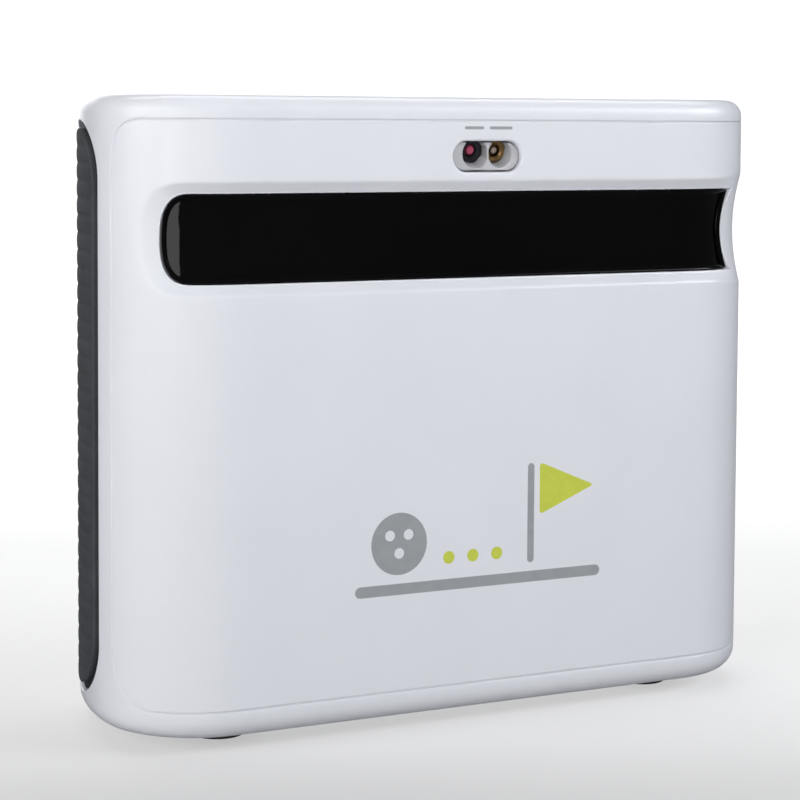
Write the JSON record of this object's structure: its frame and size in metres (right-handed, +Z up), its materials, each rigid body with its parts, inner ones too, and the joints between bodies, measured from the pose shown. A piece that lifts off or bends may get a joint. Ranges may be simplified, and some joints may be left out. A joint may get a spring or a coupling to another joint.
{
  "type": "golf launch monitor",
  "caption": "Free-standing box-shaped golf launch monitor with a dark wrap-round window band, an oval laser aperture, ribbed end grips and levelling feet.",
  "frame": {"origin": "On the surface that the feet stand on, under the middle of the overall box.", "axes": "+Z up, +X along the width with the aperture's front towards -Y, so +Y points out of the back."},
  "size_m": [0.1714, 0.0636, 0.1461],
  "materials": {
    "shell_white": "satin white moulded plastic",
    "window_black": "polished black infrared-passing acrylic",
    "dark_plastic": "fine-grained dark grey plastic",
    "grip_rubber": "ribbed soft rubber, slate grey",
    "foot_rubber": "black rubber",
    "steel": "plated steel",
    "aluminium": "plain sheet and cast aluminium",
    "brass": "turned brass",
    "circuit_board": "green solder mask on glass fibre board",
    "battery_wrap": "shrink-wrapped battery pack",
    "cable_black": "black insulated wire and film",
    "clear_plastic": "frosted clear plastic",
    "red_lens": "polished red lens"
  },
  "bodies": {
    "housing": {"alignment_laser_barrel": "brass", "alignment_laser_lens": "clear_plastic", "aperture_shroud": "shell_white", "battery_lead": "cable_black", "battery_pack": "battery_wrap", "battery_tray": "dark_plastic", "chassis_screw_1": "steel", "chassis_screw_2": "steel", "chassis_screw_3": "steel", "chassis_screw_4": "steel", "cover_screw_1": "steel", "cover_screw_2": "steel", "cover_screw_3": "steel", "cover_screw_4": "steel", "front_fascia": "shell_white", "front_housing": "shell_white", "heatsink": "aluminium", "internal_chassis": "aluminium", "io_board": "circuit_board", "laser_bracket": "aluminium", "laser_lead": "cable_black", "left_camera_board": "circuit_board", "left_camera_holder": "dark_plastic", "left_camera_lens": "dark_plastic", "left_camera_ribbon": "cable_black", "left_grip_bezel": "dark_plastic", "left_grip_pad": "grip_rubber", "left_strobe_board": "circuit_board", "left_strobe_reflector": "aluminium", "main_board": "circuit_board", "mode_switch": "dark_plastic", "pointer_laser_barrel": "dark_plastic", "pointer_laser_lens": "red_lens", "power_switch": "dark_plastic", "rear_cover": "shell_white", "rear_foot_pad": "foot_rubber", "right_camera_board": "circuit_board", "right_camera_holder": "dark_plastic", "right_camera_lens": "dark_plastic", "right_camera_ribbon": "cable_black", "right_grip_bezel": "dark_plastic", "right_grip_pad": "grip_rubber", "right_strobe_board": "circuit_board", "right_strobe_reflector": "aluminium", "status_light_pipe_1": "clear_plastic", "status_light_pipe_2": "clear_plastic", "status_light_pipe_3": "clear_plastic", "usb_connector": "steel", "wifi_antenna": "cable_black", "wifi_module": "steel", "window_gasket": "dark_plastic", "window_lens": "window_black"},
    "left_wheel": {"left_levelling_wheel": "dark_plastic"},
    "left_foot": {"left_levelling_stem": "steel", "left_levelling_foot_pad": "foot_rubber"},
    "right_wheel": {"right_levelling_wheel": "dark_plastic"},
    "right_foot": {"right_levelling_stem": "steel", "right_levelling_foot_pad": "foot_rubber"},
    "power_button": {"power_button": "shell_white"},
    "mode_button": {"mode_button": "shell_white"}
  },
  "joints": [
    {"name": "left_wheel_turn", "type": "hinge", "parent": "housing", "child": "left_wheel", "pos_m": [-0.058, -0.013, 0.0047], "axis": [0, 0, 1], "range_deg": [0, 720]},
    {"name": "left_foot_slide", "type": "slide", "parent": "housing", "child": "left_foot", "axis": [0, 0, -1], "range_m": [0, 0.004]},
    {"name": "right_wheel_turn", "type": "hinge", "parent": "housing", "child": "right_wheel", "pos_m": [0.058, -0.013, 0.0047], "axis": [0, 0, 1], "range_deg": [0, 720]},
    {"name": "right_foot_slide", "type": "slide", "parent": "housing", "child": "right_foot", "axis": [0, 0, -1], "range_m": [0, 0.004]},
    {"name": "power_button_press", "type": "slide", "parent": "housing", "child": "power_button", "axis": [0, -1, 0], "range_m": [0, 0.0008], "stiffness_N_per_m": 600, "springref_m": -0.0008},
    {"name": "mode_button_press", "type": "slide", "parent": "housing", "child": "mode_button", "axis": [0, -1, 0], "range_m": [0, 0.0008], "stiffness_N_per_m": 600, "springref_m": -0.0008}
  ],
  "couplings": [
    {"joint": "left_wheel_turn", "follows": "left_foot_slide", "rad_per_m": 3141.6},
    {"joint": "right_wheel_turn", "follows": "right_foot_slide", "rad_per_m": 3141.6}
  ]
}
